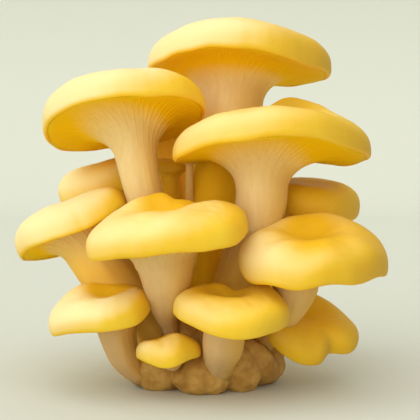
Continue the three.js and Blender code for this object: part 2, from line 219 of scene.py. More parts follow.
# at: middle of the rim plane. lean: degrees that it tips to the front and to the right.
# lobes swell the outline and waves lift the rim: (how many round the cap, size, where in degrees).
# notches bite into the outline: (where in degrees, share of the reach, width in degrees).
# dents sink the skin, or raise it when the depth is below zero: (x, y, size, depth).
# foot: where the stem leaves the clump. neck: where it meets the cap, off the cap's middle.
MUSHROOMS = [
    dict(
        name="top", gills=28, at=(12.6, 27, 122.4), lean=(-8.5, 3),
        width=74, depth=63, crown=15.5, tuck=2.4, ceiling=8,
        lobes=((3, 0.02, 20),), notches=(),
        dents=((0, 8, 16, 2),), waves=((2, -1.3, 0), (3, 0.8, 10)),
        foot=(-1, 5, 30), foot_radius=6.5, neck_radius=13, flare=14.5, neck=(-2.5, 2),
    ),
    dict(
        name="upper_left", gills=26, at=(-32, 0, 99.9), lean=(-19, -9),
        width=62, depth=58, crown=15, tuck=2.4, ceiling=8,
        lobes=((3, 0.02, 0),), notches=(),
        dents=((6, 6, 13, 2),), waves=((2, -0.6, 0), (3, 0.8, 100)),
        foot=(-11, 4, 29), foot_radius=4.8, neck_radius=8, flare=14, neck=(3, 2),
    ),
    dict(
        name="upper_right", gills=28, at=(24.2, -14, 88.6), lean=(-9, 0),
        width=72.5, depth=60, crown=14, tuck=2.2, ceiling=6,
        lobes=((3, 0.02, 50),), notches=(),
        dents=((6, -9, 9, 6), (4, 14, 10, -6.5), (18, 11, 12, -6.5)), waves=((2, -2, 0), (5, 0.6, 0)),
        foot=(8, -3, 29), foot_radius=7, neck_radius=9.6, flare=13, neck=(-4, 5),
    ),
    dict(
        name="front", gills=24, at=(-13.2, -31, 57.7), lean=(5, -8),
        width=58, depth=48, crown=12, tuck=2.2, ceiling=5,
        lobes=((3, 0.03, 180),), notches=((76, 0.24, 11),),
        dents=((0, 4, 9, 5), (-10, 14, 9, -3.5), (1, 17, 8, -5.5), (14, 14, 9, 2)),
        waves=((3, 0.8, 20), (5, 0.5, 0)),
        foot=(-14, -16, 24), foot_radius=3.2, neck_radius=11, flare=8.5, neck=(-2.8, 2),
    ),
    dict(
        name="left", gills=20, at=(-50.6, -2, 56.8), lean=(-15, -25),
        width=46, depth=38, crown=12.5, tuck=2.2, ceiling=6,
        lobes=((3, 0.03, 0),), notches=(),
        dents=((3, 3, 9, 2),), waves=((2, 2, 0), (3, 0.8, 0)),
        foot=(-18, -2, 17), foot_radius=8, neck_radius=11, flare=8.5, neck=(4, 2),
    ),
    dict(
        name="shoulder_left", gills=18, at=(-41, 27, 73.5), lean=(3, -18),
        width=38, depth=34, crown=11.5, tuck=2, ceiling=5,
        lobes=((3, 0.03, 60),), notches=(),
        dents=((2, 2, 8, 2),), waves=((2, 0.8, 30),),
        foot=(-13, 12, 24), foot_radius=4, neck_radius=5.5, flare=8, neck=(4, 3),
    ),
    dict(
        name="lower_left", gills=20, at=(-38.2, -24, 29.6), lean=(9, -11),
        width=37.5, depth=36, crown=9.5, tuck=2, ceiling=4.5,
        lobes=((3, 0.03, 180),), notches=(),
        dents=((4, 2, 8, 4.5), (-9, 11, 8, -1.5)), waves=((2, -0.8, 0), (3, 0.8, 0)),
        foot=(-26, -13.5, 6.5), foot_radius=4.4, neck_radius=7.4, flare=6, neck=(4, 3),
    ),
    dict(
        name="lower_front", gills=20, at=(8.6, -38, 31.8), lean=(9, 5),
        width=41, depth=38, crown=8.8, tuck=2, ceiling=4,
        lobes=((3, 0.03, 30),), notches=((82, 0.32, 14),),
        dents=((-2, 3, 8, 4.5), (-6, 14, 8, -1), (11, 7, 7, -2.5)), waves=((3, 0.8, 90),),
        foot=(4, -23, 11), foot_radius=6, neck_radius=7.4, flare=4.5, neck=(-2, 0),
    ),
    dict(
        name="right", gills=24, at=(37.6, -29, 48.6), lean=(13, 0),
        width=53, depth=46, crown=13.5, tuck=2.2, ceiling=5,
        lobes=((3, 0.03, 30),), notches=(),
        dents=((-2, 3, 11, 5.5), (-1, 17, 9, -2.5), (13, 14, 12, -3.5)), waves=((2, -1.8, 20), (7, 0.7, 20)),
        foot=(22, -9, 17), foot_radius=4, neck_radius=8.8, flare=7, neck=(-6, 4),
    ),
    dict(
        name="shoulder_right", gills=18, at=(40, 9, 67), lean=(10, 6),
        width=39, depth=36, crown=11, tuck=2, ceiling=5,
        lobes=((3, 0.03, 30),), notches=(),
        dents=((-2, 2, 9, 3),), waves=((2, 0.8, 60),),
        foot=(15, 5, 24), foot_radius=4, neck_radius=6, flare=8, neck=(-4, 1),
    ),
    dict(
        name="lower_right", gills=24, at=(36.7, -8, 21.2), lean=(30, 11),
        width=39, depth=36.5, crown=9, tuck=1.8, ceiling=3,
        lobes=((2, 0.04, -20),), notches=((-54, 0.25, 11), (170, 0.3, 25)),
        dents=((-3, 3, 10, 5),), waves=((3, 1.4, -30),),
        foot=(22, -4, 10), foot_radius=4, neck_radius=5, flare=4, neck=(-4.2, 3),
    ),
    dict(
        name="bud_front", gills=12, at=(-14, -31.5, 16.6), lean=(8, -3),
        width=23, depth=19, crown=6.5, tuck=1.4, ceiling=2,
        lobes=((3, 0.05, 30), (5, 0.03, 0)), notches=(),
        dents=((-4, 3.5, 4, 2.8), (4, -1, 4, -1)), waves=((3, 0.8, 90),),
        foot=(-10, -19, 12), foot_radius=3, neck_radius=3.4, flare=2, neck=(1, 3),
    ),
    dict(
        name="inner", gills=12, at=(-14.8, 24, 81), lean=(0, 0),
        width=15.5, depth=16, crown=4.5, tuck=1.2, ceiling=2,
        lobes=((3, 0.03, 0),), notches=(),
        dents=((0, 0, 4, 1),), waves=((2, 0.4, 0),),
        foot=(-7, 13, 29), foot_radius=3, neck_radius=3.6, flare=4, neck=(0, 0),
    ),
    dict(
        name="slender", gills=12, at=(-7, 12, 85), lean=(0, 0),
        width=12, depth=12, crown=5, tuck=1, ceiling=1.5,
        lobes=((3, 0.02, 0),), notches=(),
        dents=((0, 0, 3, 0.4),), waves=((2, 0.3, 0),),
        foot=(-5, 5, 31), foot_radius=2, neck_radius=1.5, flare=2, neck=(0, 0),
    ),
    dict(
        name="back_left", gills=20, at=(-15, 53, 89), lean=(-20, -8),
        width=44, depth=42, crown=12, tuck=2.2, ceiling=5,
        lobes=((3, 0.03, 80),), notches=(),
        dents=((2, -4, 10, 3),), waves=((3, 1, 30),),
        foot=(-9, 18, 22), foot_radius=6.5, neck_radius=8.5, flare=8, neck=(0, -4),
    ),
    dict(
        name="back_right", gills=20, at=(27, 49, 60), lean=(-20, 14),
        width=52, depth=46, crown=13, tuck=2.2, ceiling=5,
        lobes=((3, 0.03, 20),), notches=(),
        dents=((-2, -4, 10, 4),), waves=((3, 1, 70),),
        foot=(11, 18, 22), foot_radius=5, neck_radius=7, flare=8, neck=(-2, -4),
    ),
    dict(
        name="back_low", gills=18, at=(-2, 44, 29), lean=(-24, 0),
        width=42, depth=38, crown=10, tuck=2, ceiling=4,
        lobes=((3, 0.03, 20),), notches=(),
        dents=((0, -5, 9, 4),), waves=((3, 0.8, 70),),
        foot=(-2, 25, 10), foot_radius=5, neck_radius=6, flare=5, neck=(0, -3),
    ),
]


def swell(waves, angle):
    """Sum of the cosine swells in a lobes or waves list, at each angle round a cap."""
    return sum(size * np.cos(count * (angle - math.radians(where))) for count, size, where in waves)


def rim_reach(cap, angle):
    """Distance from a cap's middle to its widest edge."""
    across = np.cos(angle) / (cap["width"] / 2)
    along = np.sin(angle) / (cap["depth"] / 2)
    bite = sum(
        share * np.exp((np.cos(angle - math.radians(where)) - 1) / math.radians(width) ** 2)
        for where, share, width in cap["notches"]
    )
    return (1 + swell(cap["lobes"], angle) - bite) / np.hypot(across, along)


def from_middle(cap, share, height, angle):
    """Points a given share of the way out to the rim, at a height that follows the rim's waves."""
    share, height, angle = np.broadcast_arrays(share, height, angle)
    reach = share * rim_reach(cap, angle)
    lift = swell(cap["waves"], angle) * share * share
    return np.stack([reach * np.cos(angle), reach * np.sin(angle), height + lift], axis=-1)


def skin_points(cap, swing, angle):
    """The skin over the top, from the middle (swing 0) to the widest edge (a quarter turn)."""
    upright = np.clip(np.cos(swing), 0, 1)
    points = from_middle(
        cap, np.sin(swing) ** FULL_OUTWARDS, cap["crown"] * upright**FULL_UPWARDS, angle,
    )
    sunk = sum(
        deep * np.exp(-(((points[..., 0] - x) / size) ** 2) - ((points[..., 1] - y) / size) ** 2)
        for x, y, size, deep in cap["dents"]
    )
    points[..., 2] -= sunk * np.sqrt(upright)
    return points


def ceiling_height(cap, share):
    """Height of the surface where a cap's flesh ends and its gills begin."""
    return cap["ceiling"] * (1 - (share / CEILING_REACH) ** 2)


def tipping(cap):
    """The turn that tips a mushroom to the front and then to the right."""
    front, right = (math.radians(turn) for turn in cap["lean"])
    to_front = [[1, 0, 0], [0, math.cos(front), -math.sin(front)], [0, math.sin(front), math.cos(front)]]
    to_right = [[math.cos(right), 0, math.sin(right)], [0, 1, 0], [-math.sin(right), 0, math.cos(right)]]
    return np.array(to_front) @ np.array(to_right)


def stood(cap, points):
    """Points in a cap's own frame, moved to where it stands."""
    return points @ tipping(cap).T + np.array(cap["at"])


def unevenness(points, bumps, seed=0):
    """How far each point is raised by uneven growth: smooth bumps, about as far apart as listed."""
    total = 0
    for height, apart, draw in bumps:
        rng = np.random.default_rng(seed + draw)
        pattern = np.zeros(points.shape[:-1])
        for _ in range(BUMP_WAVES):
            direction = rng.normal(size=3)
            factor = rng.uniform(*LENGTH_FACTORS)
            direction *= factor * 2 * math.pi / (2 * apart * np.linalg.norm(direction))
            pattern += np.sin(points @ direction + rng.uniform(0, 2 * math.pi))
        total = total + height * (pattern / math.sqrt(BUMP_WAVES))
    return total


def closed_skin(rings):
    """Corners and faces of a closed skin over rings of corners, the first and last of them single points."""
    corners = np.concatenate([ring.reshape(-1, 3) for ring in rings])
    faces, start = [], 0
    for above, below in zip(rings, rings[1:]):
        n, m = len(above), len(below)
        first, second = start, start + n
        start = second
        if n == m:
            i = np.arange(n)
            j = (i + 1) % n
            faces.append(np.stack([first + i, second + i, second + j, first + j], axis=1))
            continue
        triangles = []
        i = j = 0
        while i < (n if n > 1 else 0) or j < (m if m > 1 else 0):
            last_above = i >= n or n == 1
            last_below = j >= m or m == 1
            if last_below or (not last_above and (i + 1) / n <= (j + 1) / m):
                triangles.append((first + i % n, second + j % m, first + (i + 1) % n))
                i += 1
            else:
                triangles.append((first + i % n, second + j % m, second + (j + 1) % m))
                j += 1
        faces.append(np.array(triangles))
    return corners, faces


def made_piece(name, corners, faces, marks, material, node):
    """A smooth piece in place of a CAD node. Marks are values at each corner that its material reads."""
    mesh = bpy.data.meshes.new(name)
    mesh.from_pydata(corners * MM, [], [tuple(face) for group in faces for face in group.tolist()])
    mesh.polygons.foreach_set("use_smooth", [True] * len(mesh.polygons))
    for mark, values in marks.items():
        layer = mesh.attributes.new(mark, "FLOAT", "POINT")
        layer.data.foreach_set("value", values.astype(np.float32))
    mesh.materials.append(material)
    piece = bpy.data.objects.new(name, mesh)
    bpy.context.scene.collection.objects.link(piece)
    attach(piece, "root")
    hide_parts(node)


def flat_marks(parts):
    """The marks of several rings in a row, one value a corner."""
    return np.concatenate([np.ravel(part) for part in parts])


def spots(places, points):
    """How strongly each point lies in soft round places, given as x, y, size and share."""
    total = np.zeros(points.shape[:-1])
    for x, y, size, share in places:
        total += share * np.exp(-((points[..., 0] - x) ** 2 + (points[..., 1] - y) ** 2) / size**2)
    return np.clip(total, 0, 1)


def cap_gold_shade_depth(cap, points):
    """How deep a cap's painted golden shade is at each point: full in its hollows and in the places listed.
    """
    hollows = [dent for dent in cap["dents"] if dent[3] > 0]
    places = [(x, y + GOLD_BEHIND, size, deep / FULL_GOLD_DEPTH) for x, y, size, deep in hollows]
    return spots(places + CAP_GOLD_SHADE_SPOTS.get(cap["name"], []), points)


def facing(points, direction):
    """How squarely a closed band of rings faces a direction at each corner, between -1 and 1."""
    round_it = np.roll(points, -1, axis=1) - np.roll(points, 1, axis=1)
    outward = np.cross(np.gradient(points, axis=0), round_it)
    return outward @ np.array(direction) / np.linalg.norm(direction) / np.linalg.norm(outward, axis=-1)


def cap_piece(cap, seed, material):
    """One cap: skin over the top, a rounded margin that turns in, and the underside above the gills."""
    angle = np.linspace(0, 2 * math.pi, CAP_COLUMNS, endpoint=False)[None, :]
    swing = (np.linspace(FIRST_RING, 1, CAP_RINGS) ** RING_CROWDING * math.pi / 2)[:, None]
    skin = skin_points(cap, swing, angle)
    turn = np.linspace(0, math.pi, LIP_RINGS + 1)[1:, None]
    middle, half = (1 + CEILING_REACH) / 2, (1 - CEILING_REACH) / 2
    lip = from_middle(cap, middle + half * np.cos(turn), -cap["tuck"] * np.sin(turn), angle)
    share = np.linspace(CEILING_REACH, LAST_CEILING, CEILING_RINGS + 1)[1:, None]
    ceiling = from_middle(cap, share, ceiling_height(cap, share), angle)
    top = skin_points(cap, np.array([0.0]), np.array([0.0]))
    bottom = from_middle(cap, 0.0, cap["ceiling"], 0.0)[None, :]

    # The margin isn't cut clean: it swells and draws in a little all the way round.
    outer = np.concatenate([skin, lip])
    toward_rim = np.concatenate([np.sin(swing) ** RIM_NEARNESS, np.ones((LIP_RINGS, 1))])
    rim_line = np.stack([np.cos(angle), np.sin(angle), 0 * angle], axis=-1) * cap["width"] / 2
    frill = unevenness(rim_line, RIM_FRILL, seed)
    outer[..., :2] *= (1 + toward_rim * frill / (cap["width"] / 2))[..., None]
    outer[..., 2] += toward_rim * unevenness(rim_line, RIM_DROOP, seed)
    # Painted shade: deeper gold in the hollows and in the listed places.
    cap_shade_gold = cap_gold_shade_depth(cap, outer)
    # Painted shade: ochre in the listed places.
    ochre_shade = spots(OCHRE_SHADE_SPOTS.get(cap["name"], []), outer)
    outer[..., 2] += unevenness(outer, SKIN_LUMPS, seed) * (1 - toward_rim)

    placed = stood(cap, outer)
    # Painted light: pale where the skin faces the key light.
    painted_light = LESS_PAINTED_LIGHT.get(cap["name"], 1) * np.clip(facing(placed, PAINTED_LIGHT_SIDE), 0, 1)
    # Painted shade: ochre where the skin faces away from the light, on caps out to the right.
    far_out = np.clip(placed[..., 0] / FAR_OUT, 0, 1)
    far = MOST_FAR_CAP * far_out * np.clip(facing(placed, FAR_SIDE), 0, 1) ** FAR_EDGE
    far = np.maximum(far, ochre_shade)

    marks = {
        name: flat_marks([[mark[0].mean()], mark, np.zeros((CEILING_RINGS, CAP_COLUMNS)), [0.0]])
        for name, mark in (("cap_shade_gold", cap_shade_gold), ("painted_light", painted_light), ("far", far))
    }
    marks["rim"] = flat_marks([
        [0.0],
        np.broadcast_to(np.sin(swing), (CAP_RINGS, CAP_COLUMNS)),
        np.broadcast_to(1 + turn / math.pi, (LIP_RINGS, CAP_COLUMNS)),
        np.full((CEILING_RINGS, CAP_COLUMNS), 2.0),
        [2.0],
    ])
    corners, faces = closed_skin([stood(cap, ring) for ring in [top, *outer, *ceiling, bottom]])
    made_piece(cap["name"] + "_cap", corners, faces, marks, material, "cap_" + cap["name"])


def gill_rings(cap, rng):
    """The gills' underside as a trumpet from the rim to the neck, and how far out each corner lies."""
    count = cap["gills"] * len(GILL_LENGTHS)
    each = len(GILL_CREST)
    crest = np.tile(GILL_CREST, count)
    differs = rng.uniform(-LENGTH_DIFFERS, LENGTH_DIFFERS, count)
    length = np.repeat(np.tile(GILL_LENGTHS, cap["gills"]) + differs, each)
    height = np.repeat(rng.uniform(LOWEST_GILL, HIGHEST_GILL, count), each)
    turn = np.linspace(0, math.pi / 2, GILL_RINGS)[:, None]
    angle = np.linspace(0, 2 * math.pi, count * each, endpoint=False)[None, :]
    inward = np.sin(turn)
    out = 1 - inward
    # Gills run a little crooked, neighbours together.
    together = np.sin(3 * angle + rng.uniform(0, 6)) * np.sin(2.6 * out + rng.uniform(0, 6))
    angle = angle + WANDER_TOGETHER * together
    angle = angle + WANDER_APART * np.sin(11 * angle + 5 * out + rng.uniform(0, 6))
    fade = np.clip((length - inward) / SHORT_RUN_OUT, 0, 1)
    fade = np.where(length > LONG_GILL, 1, fade)
    depth = FINE_GILLS * min(MOST_GILL_DEPTH, cap["neck_radius"] * GILL_DEPTH_SHARE)
    ridge = depth * np.interp(np.degrees(turn), GILL_TURNS, GILL_RELIEF) * crest * height * fade
    # Near the rim they come down to the turned-in margin and run out into it.
    ending = np.clip(1 - turn / math.radians(RUN_OUT), 0, 1) ** RUN_OUT_EASE
    start = ceiling_height(cap, GILL_REACH)
    fall = ending * max(0, start - GAP - GILL_EDGE + TUCK_SHARE * cap["tuck"])
    rim = from_middle(cap, GILL_REACH + ending * (GILL_END_REACH - GILL_REACH), 0.0, angle)
    sideways = cap["neck_radius"] + (np.hypot(rim[..., 0], rim[..., 1]) - cap["neck_radius"]) * out
    sideways = sideways + ridge * np.sin(turn)
    points = np.stack([
        cap["neck"][0] * (1 - out) + sideways * np.cos(angle),
        cap["neck"][1] * (1 - out) + sideways * np.sin(angle),
        start + rim[..., 2] * out**2 - GAP - GILL_EDGE - fall
        - cap["flare"] * (1 - np.cos(turn)) - ridge * np.cos(turn),
    ], axis=-1)
    return points, out + 0 * angle, angle[-1]


def bent_path(cap):
    """The four points of a stem's bend, from foot to neck, and the cap's axis."""
    turn = tipping(cap)
    neck_height = ceiling_height(cap, GILL_REACH) - GAP - GILL_EDGE - cap["flare"]
    neck = stood(cap, np.array([*cap["neck"], neck_height]))
    foot = np.array(cap["foot"], float)
    outward = foot + np.array([0, 0, FAN_DEPTH])
    outward /= np.linalg.norm(outward)
    pull = np.linalg.norm(neck - foot) * STIFFNESS
    return foot, foot + outward * pull, neck - turn[:, 2] * pull, neck, turn


def stem_rings(cap, rng):
    """Rings down the stem's bent length, with lengthwise flutes that run on from the gills."""
    a, b, c, d, turn = bent_path(cap)
    columns = cap["gills"] * STEM_COLUMNS_EACH
    angle = np.linspace(0, 2 * math.pi, columns, endpoint=False)
    side = turn[:, 0].copy()
    flutes = [(n, rng.uniform(0, 2 * math.pi), deep) for n, deep in STEM_FLUTES]
    # Where the swelling and both kinds of strand begin.
    start = rng.uniform(0, 2 * math.pi, 3)
    stations = np.linspace(1, 0, STEM_RINGS)
    rings, ups = [], []
    for t in stations[1:]:
        s = 1 - t
        centre = s**3 * a + 3 * s * s * t * b + 3 * s * t * t * c + t**3 * d
        along = 3 * (s * s * (b - a) + 2 * s * t * (c - b) + t * t * (d - c))
        along /= np.linalg.norm(along)
        side -= along * side.dot(along)
        side /= np.linalg.norm(side)
        other = np.cross(along, side)
        radius = cap["foot_radius"] + (cap["neck_radius"] - cap["foot_radius"]) * t
        grown_in = min(1, s / FLUTE_START)
        uneven = sum(
            deep * np.cos(n * angle + where + FLUTE_TWIST * math.sin(3 * t + where))
            for n, where, deep in flutes
        )
        uneven = uneven + STEM_SWELLING * math.sin(5 * t + start[0])
        strands = GILL_STRAND * np.sin(cap["gills"] * angle + 2 * np.sin(4 * t + start[1]))
        strands = strands * math.exp(-s / GILL_STRAND_FADE)
        fewer = math.floor(cap["gills"] * STRANDS_EACH)
        strands = strands + LOW_STRAND * np.sin(fewer * angle + 3 * np.sin(3 * t + start[2]))
        spread = radius * (1 + uneven * grown_in) + strands * grown_in
        across = np.outer(spread * np.cos(angle), side) + np.outer(spread * np.sin(angle), other)
        rings.append(centre + across)
        ups.append(np.full(columns, t))
    rings.append(rings[-1] - ROOT_DEPTH * (b - a) / np.linalg.norm(b - a))
    ups.append(np.zeros(columns))
    return rings, ups


def stem_piece(cap, seed, material):
    """One stem with its gills: closed above where it meets the cap, and rooted in the clump below."""
    rng = np.random.default_rng(seed + STEM_DRAWS)
    gills, out, angle = gill_rings(cap, rng)
    share = np.array([HALFWAY, CEILING_REACH])[:, None]
    hidden = from_middle(cap, share, ceiling_height(cap, share) - GAP, angle[None, :])
    top = from_middle(cap, 0.0, cap["ceiling"] - GAP, 0.0)[None, :]
    stem, ups = stem_rings(cap, rng)
    rings = [stood(cap, top), *stood(cap, hidden), *stood(cap, gills), *stem, stem[-1].mean(axis=0)[None, :]]
    corners, faces = closed_skin(rings)
    # Painted shade and bounced light: stems deep in the cluster, and their side away from the light, are
    # golden.
    share, height = STEM_SHADE_GOLD_BY_CAP.get(cap["name"], (0, 0))
    stem_shade_gold = share * np.clip((height - corners[:, 2]) / STEM_SHADE_GOLD_FADE, 0, 1)
    far = np.concatenate([
        np.clip((ring - ring.mean(axis=0)) @ FAR_SIDE / (np.ptp(ring[:, 0]) / 2 + RING_MARGIN), 0, 1)
        for ring in rings
    ])
    # Painted shade: ochre on the side away from the light, less where it is already painted golden.
    ochre = MOST_FAR_STEM * (1 - stem_shade_gold) * far**FAR_EDGE
    stem_shade_gold = np.maximum(stem_shade_gold, MOST_FAR_GOLD * far**FAR_EDGE)
    # The pale flesh climbs highest on the lit side, where the gills get less painted golden shade.
    lit_side_pale = LESS_LIT_SIDE_PALE.get(cap["name"], LIT_SIDE_PALE) * np.clip(np.cos(angle - LIT_SIDE), 0, 1)
    up = flat_marks([[2.0], np.full(hidden.shape[:2], 2.0), 1 + out * (1 - lit_side_pale), flat_marks(ups), [0.0]])
    marks = {"up": up, "stem_shade_gold": stem_shade_gold, "far": ochre * np.clip((OCHRE_END - up) / OCHRE_FADE, 0, 1)}
    made_piece(cap["name"] + "_stem", corners, faces, marks, material, "stem_" + cap["name"])


def way_out(direction, half_sizes, where=0, distance=0, middle=CLUMP_MIDDLE, slant=0):
    """How far a ray from the clump's middle runs before it leaves an egg-shaped bulge, or 0 if it misses."""
    turn, tip = math.radians(where), math.radians(slant)
    outward = [math.cos(turn), math.sin(turn), 0]
    sideways = [-math.sin(turn) * math.cos(tip), math.cos(turn) * math.cos(tip), math.sin(tip)]
    upward = [math.sin(turn) * math.sin(tip), -math.cos(turn) * math.sin(tip), math.cos(tip)]
    own = np.array([outward, sideways, upward]).T
    centre = np.array([distance * math.cos(turn), distance * math.sin(turn), middle])
    o = (np.array([0, 0, CLUMP_MIDDLE]) - centre) @ own / half_sizes
    d = direction @ own / half_sizes
    a = (d * d).sum(-1)
    b = (d * o).sum(-1)
    c = (o * o).sum() - 1
    inside = b * b - a * c
    return np.where(inside > 0, (-b + np.sqrt(np.maximum(inside, 0))) / a, 0)


def clump_piece(material):
    """The clump: lobes that run together in soft creases, with lesser swellings all over."""
    rows = np.linspace(END_ANGLE, math.pi - END_ANGLE, CLUMP_RINGS)[:, None]
    angle = np.linspace(0, 2 * math.pi, CLUMP_COLUMNS, endpoint=False)[None, :]
    direction = np.stack([
        np.sin(rows) * np.cos(angle), np.sin(rows) * np.sin(angle), np.cos(rows) + 0 * angle,
    ], axis=-1)
    heart = np.array([CLUMP_RADIUS, CLUMP_RADIUS, CLUMP_HEIGHT - CLUMP_MIDDLE], float)
    reaches = [way_out(direction, heart)]
    for where, distance, middle, half_sizes, slant in LOBES:
        reaches.append(way_out(direction, np.array(half_sizes, float), where, distance, middle, slant))
    reaches = np.sort(np.stack(reaches), axis=0)
    reach = (reaches**LOBE_SHARPNESS).sum(0) ** (1 / LOBE_SHARPNESS)
    crease = np.exp(-(reaches[-1] - reaches[-2]) / CREASE_WIDTH)
    points = direction * reach[..., None] + np.array([0, 0, CLUMP_MIDDLE])
    points += direction * (unevenness(points, CLUMP_SWELLINGS) - CLUMP_INSET)[..., None]
    points[..., 2] = np.maximum(points[..., 2], 0)
    top = np.array([[0, 0, points[0, :, 2].mean()]])
    bottom = np.zeros((1, 3))
    corners, faces = closed_skin([top, *points, bottom])
    marks = {"crease": flat_marks([[0.0], crease, [0.0]])}
    made_piece("rooted_clump", corners, faces, marks, material, "clump")


def linear(hex_colour):
    """A hex colour as the renderer's own numbers, with full cover."""
    shares = [int(hex_colour[i:i + 2], 16) / 255 for i in (1, 3, 5)]
    return [s / 12.92 if s <= 0.04045 else ((s + 0.055) / 1.055) ** 2.4 for s in shares] + [1]


def add(tree, kind, inputs=None, **settings):
    """Adds a node with its settings, and sets or links its inputs."""
    node = tree.nodes.new("ShaderNode" + kind)
    for name, value in settings.items():
        setattr(node, name, value)
    for socket, value in (inputs or {}).items():
        if isinstance(value, bpy.types.NodeSocket):
            tree.links.new(value, node.inputs[socket])
        else:
            node.inputs[socket].default_value = value
    return node


# Sockets of a colour mix, which has several of each name.
FACTOR, FIRST, SECOND, MIXED = 0, 6, 7, 2


def per_mm(size):
    """The scale at which a pattern in metres repeats about once in this many millimetres."""
    return 1 / (size * MM)


def new_material(name):
    """An empty material and its tree, with each point's place on the object in metres."""
    material = bpy.data.materials.new(name)
    material.use_nodes = True
    tree = material.node_tree
    tree.nodes.clear()
    return material, tree, add(tree, "TexCoord").outputs["Object"]


def cap_skin():
    """Cap skin of a fresh golden oyster mushroom: moist, silky and finely felted, so that light spreads
    softly on it and sinks in a little. It is golden on the turned margin. Painted light makes it pale yellow
    where it faces the key light, and painted shade makes it deeper gold in the hollows and ochre on the side
    away from the light."""
    material, tree, place = new_material("fresh_cap_skin")
    # The yellow varies in patches of about 16 mm. The felt is drawn 1.1 mm apart, coarser than real felt,
    # so that it shows.
    blotches = add(tree, "TexNoise", {"Vector": place, "Scale": per_mm(16), "Detail": 3, "Roughness": 0.5})
    felt = add(tree, "TexNoise", {"Vector": place, "Scale": per_mm(1.1), "Detail": 4, "Roughness": 0.6})
    cap_shade_gold = add(tree, "Attribute", attribute_name="cap_shade_gold")
    rim = add(tree, "Attribute", attribute_name="rim")
    painted_light = add(tree, "Attribute", attribute_name="painted_light")
    far = add(tree, "Attribute", attribute_name="far")
    tone = add(tree, "MapRange", {"Value": blotches.outputs["Fac"], "From Min": 0.35, "From Max": 0.65})
    yellow = add(tree, "Mix", {
        FACTOR: tone.outputs[0], FIRST: linear("#f7cd2a"), SECOND: linear("#f3c01a"),
    }, data_type="RGBA")
    # Painted light: pale where the skin faces the key light.
    painted_light_share = add(tree, "MapRange", {
        "Value": painted_light.outputs["Fac"], "From Min": 0.25, "From Max": 0.88, "To Max": 0.9,
    }, interpolation_type="SMOOTHSTEP")
    pale = add(tree, "Mix", {
        FACTOR: painted_light_share.outputs[0], FIRST: yellow.outputs[MIXED], SECOND: linear("#fce7a8"),
    }, data_type="RGBA")
    # Painted shade: deeper gold in the hollows and in the listed places.
    in_hollow = add(tree, "MapRange", {"Value": cap_shade_gold.outputs["Fac"]}, interpolation_type="SMOOTHSTEP")
    hollowed = add(tree, "Mix", {
        FACTOR: in_hollow.outputs[0], FIRST: pale.outputs[MIXED], SECOND: linear("#edb908"),
    }, data_type="RGBA")
    # Painted shade: ochre on the side away from the light.
    darkened = add(tree, "Mix", {
        FACTOR: far.outputs["Fac"], FIRST: hollowed.outputs[MIXED], SECOND: linear("#c4950c"),
    }, data_type="RGBA")
    turned_in = add(tree, "MapRange", {
        "Value": rim.outputs["Fac"], "From Min": 1.1, "From Max": 1.7,
    }, interpolation_type="SMOOTHSTEP")
    coloured = add(tree, "Mix", {
        FACTOR: turned_in.outputs[0], FIRST: darkened.outputs[MIXED], SECOND: linear("#f8b90e"),
    }, data_type="RGBA")
    fine = add(tree, "MapRange", {
        "Value": felt.outputs["Fac"], "From Min": 0.3, "From Max": 0.7, "To Max": 0.06,
    })
    felted = add(tree, "Mix", {
        FACTOR: fine.outputs[0], FIRST: coloured.outputs[MIXED], SECOND: linear("#fbe28a"),
    }, data_type="RGBA")
    relief = add(tree, "Bump", {"Height": felt.outputs["Fac"], "Strength": 0.18, "Distance": 0.25 * MM})
    gloss = add(tree, "MapRange", {"Value": felt.outputs["Fac"], "To Min": 0.56, "To Max": 0.68})
    skin = add(tree, "BsdfPrincipled", {
        "Base Color": felted.outputs[MIXED], "Roughness": gloss.outputs[0], "Normal": relief.outputs[0],
        "IOR": 1.5, "Specular IOR Level": 0.3, "Subsurface Weight": 0.15,
        "Subsurface Radius": (1.0, 0.55, 0.12), "Subsurface Scale": 2.5 * MM,
        "Coat Weight": 0.06, "Coat Roughness": 0.4,
    })
    add(tree, "OutputMaterial", {"Surface": skin.outputs[0]})
    return material


